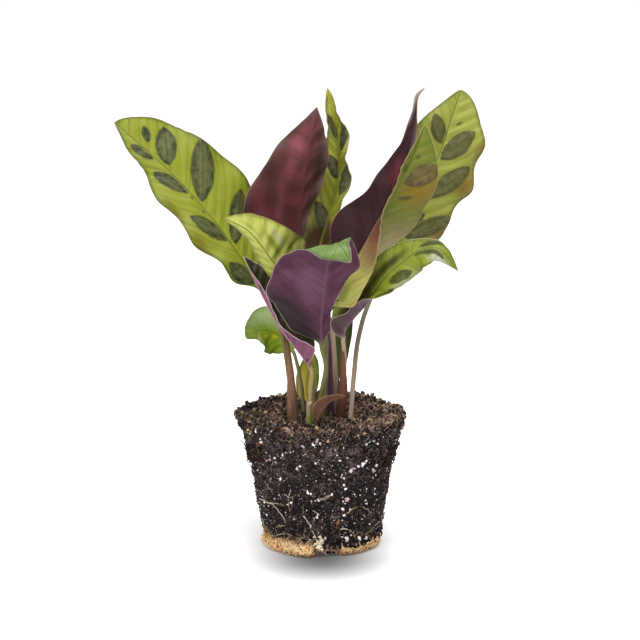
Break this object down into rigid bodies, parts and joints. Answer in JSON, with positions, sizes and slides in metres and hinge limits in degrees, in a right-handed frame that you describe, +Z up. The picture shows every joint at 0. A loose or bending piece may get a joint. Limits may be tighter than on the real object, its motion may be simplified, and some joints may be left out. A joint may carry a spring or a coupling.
{
  "type": "potted calathea house plant",
  "caption": "Young calathea out of its pot on a bare moulded root ball: patterned green and maroon leaves on upright stalks, crumbly peat with perlite, notched pad of root fibre below.",
  "frame": {"origin": "centre of the flat underside of the root fibre pad, where the plant stands", "axes": "+Z up, -Y towards the viewer of the picture, +X to the viewer's right"},
  "size_m": [0.2505, 0.1409, 0.3151],
  "materials": {
    "peat": "matte",
    "root_fibre": "matte",
    "leaf_green": "satin",
    "leaf_maroon": "satin",
    "leaf_dark": "satin",
    "dry_sheath": "matte",
    "cut_stem": "satin"
  },
  "bodies": {
    "root": {"soil_root_ball": "peat", "fibre_mat": "root_fibre", "leaf_left_large": "leaf_green", "leaf_centre_maroon": "leaf_maroon", "leaf_centre_folded": "leaf_green", "leaf_right_maroon": "leaf_maroon", "leaf_right_cupped": "leaf_green", "leaf_right_large": "leaf_green", "leaf_front_light": "leaf_green", "leaf_front_purple": "leaf_maroon", "leaf_left_shaded": "leaf_dark", "leaf_right_drooping": "leaf_green", "leaf_low_green": "leaf_green", "leaf_low_yellow": "leaf_green", "leaf_low_dark": "leaf_dark", "bract_dry": "dry_sheath", "sheath_left": "dry_sheath", "sheath_right": "dry_sheath", "sheath_middle": "dry_sheath", "stub_cut": "cut_stem"}
  },
  "joints": []
}
